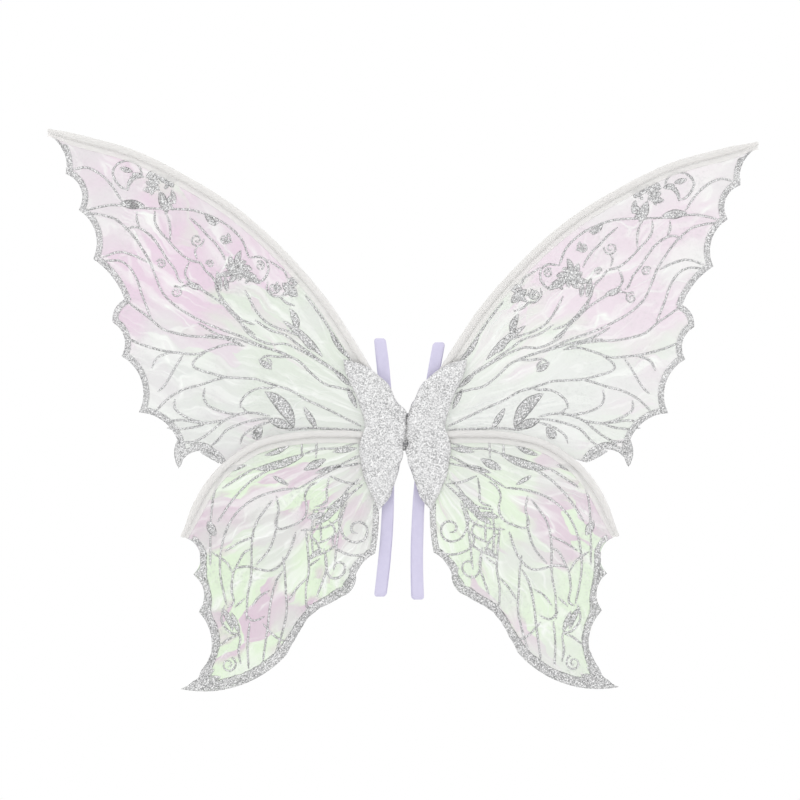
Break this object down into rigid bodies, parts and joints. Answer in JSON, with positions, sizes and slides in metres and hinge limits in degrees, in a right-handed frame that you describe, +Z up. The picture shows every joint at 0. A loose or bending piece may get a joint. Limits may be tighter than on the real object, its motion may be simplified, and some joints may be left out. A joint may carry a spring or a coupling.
{
  "type": "fairy wings",
  "caption": "Butterfly-shaped dress-up wings: iridescent film on sewn-in wire frames, glitter edges, gathered centre and elastic arm loops, folding about the centre.",
  "frame": {"origin": "middle of the felt patch's back face, which lies on the wearer's back, at the height of the gather", "axes": "+Z up as worn, +Y out of the felt patch towards the wearer, +X along the span, to the right seen from the glitter side"},
  "size_m": [0.7123, 0.0184, 0.5629],
  "materials": {
    "film": "thin creased iridescent film, pink to mint, glossy",
    "glitter": "fine silver glitter on fabric",
    "casing": "sheer white woven tape, sewn",
    "wire": "white plastic-coated spring wire",
    "cap": "soft white vinyl",
    "foam": "white craft foam",
    "felt": "pale grey felt",
    "thread": "silver-grey sewing thread",
    "elastic": "ribbed lavender elastic webbing"
  },
  "bodies": {
    "center": {"gather": "glitter", "gather_binding": "thread", "back_patch": "felt"},
    "half_left": {"forewing_film_left": "film", "forewing_glitter_edge_left": "glitter", "forewing_casing_left": "casing", "forewing_wire_left": "wire", "forewing_wire_cap_left": "cap", "cover_back_left": "glitter", "core_left": "foam", "cover_front_left": "glitter"},
    "lower_wing_left": {"hindwing_film_left": "film", "hindwing_glitter_edge_left": "glitter", "hindwing_casing_left": "casing", "hindwing_wire_left": "wire", "hindwing_wire_cap_left": "cap"},
    "arm_loop_left": {"strap_left": "elastic", "strap_tack_left": "thread"},
    "half_right": {"forewing_film_right": "film", "forewing_glitter_edge_right": "glitter", "forewing_casing_right": "casing", "forewing_wire_right": "wire", "forewing_wire_cap_right": "cap", "cover_back_right": "glitter", "core_right": "foam", "cover_front_right": "glitter"},
    "lower_wing_right": {"hindwing_film_right": "film", "hindwing_glitter_edge_right": "glitter", "hindwing_casing_right": "casing", "hindwing_wire_right": "wire", "hindwing_wire_cap_right": "cap"},
    "arm_loop_right": {"strap_right": "elastic", "strap_tack_right": "thread"}
  },
  "joints": [
    {"name": "fold_left", "type": "hinge", "parent": "center", "child": "half_left", "pos_m": [-0.0063, -0.0111, 0], "axis": [0, 0, 1], "range_deg": [-10, 85]},
    {"name": "swivel_left", "type": "hinge", "parent": "half_left", "child": "lower_wing_left", "pos_m": [-0.01776, -0.0077, -0.01161], "axis": [0, -1, 0], "range_deg": [-5, 5]},
    {"name": "loop_swing_left", "type": "hinge", "parent": "half_left", "child": "arm_loop_left", "pos_m": [-0.011, -0.0007, 0], "axis": [0, 0, -1], "range_deg": [0, 30]},
    {"name": "fold_right", "type": "hinge", "parent": "center", "child": "half_right", "pos_m": [0.0063, -0.0111, 0], "axis": [0, 0, -1], "range_deg": [-10, 85]},
    {"name": "swivel_right", "type": "hinge", "parent": "half_right", "child": "lower_wing_right", "pos_m": [0.01696, -0.0077, -0.01152], "axis": [0, 1, 0], "range_deg": [-5, 5]},
    {"name": "loop_swing_right", "type": "hinge", "parent": "half_right", "child": "arm_loop_right", "pos_m": [0.007, -0.0007, 0], "axis": [0, 0, 1], "range_deg": [0, 30]}
  ]
}
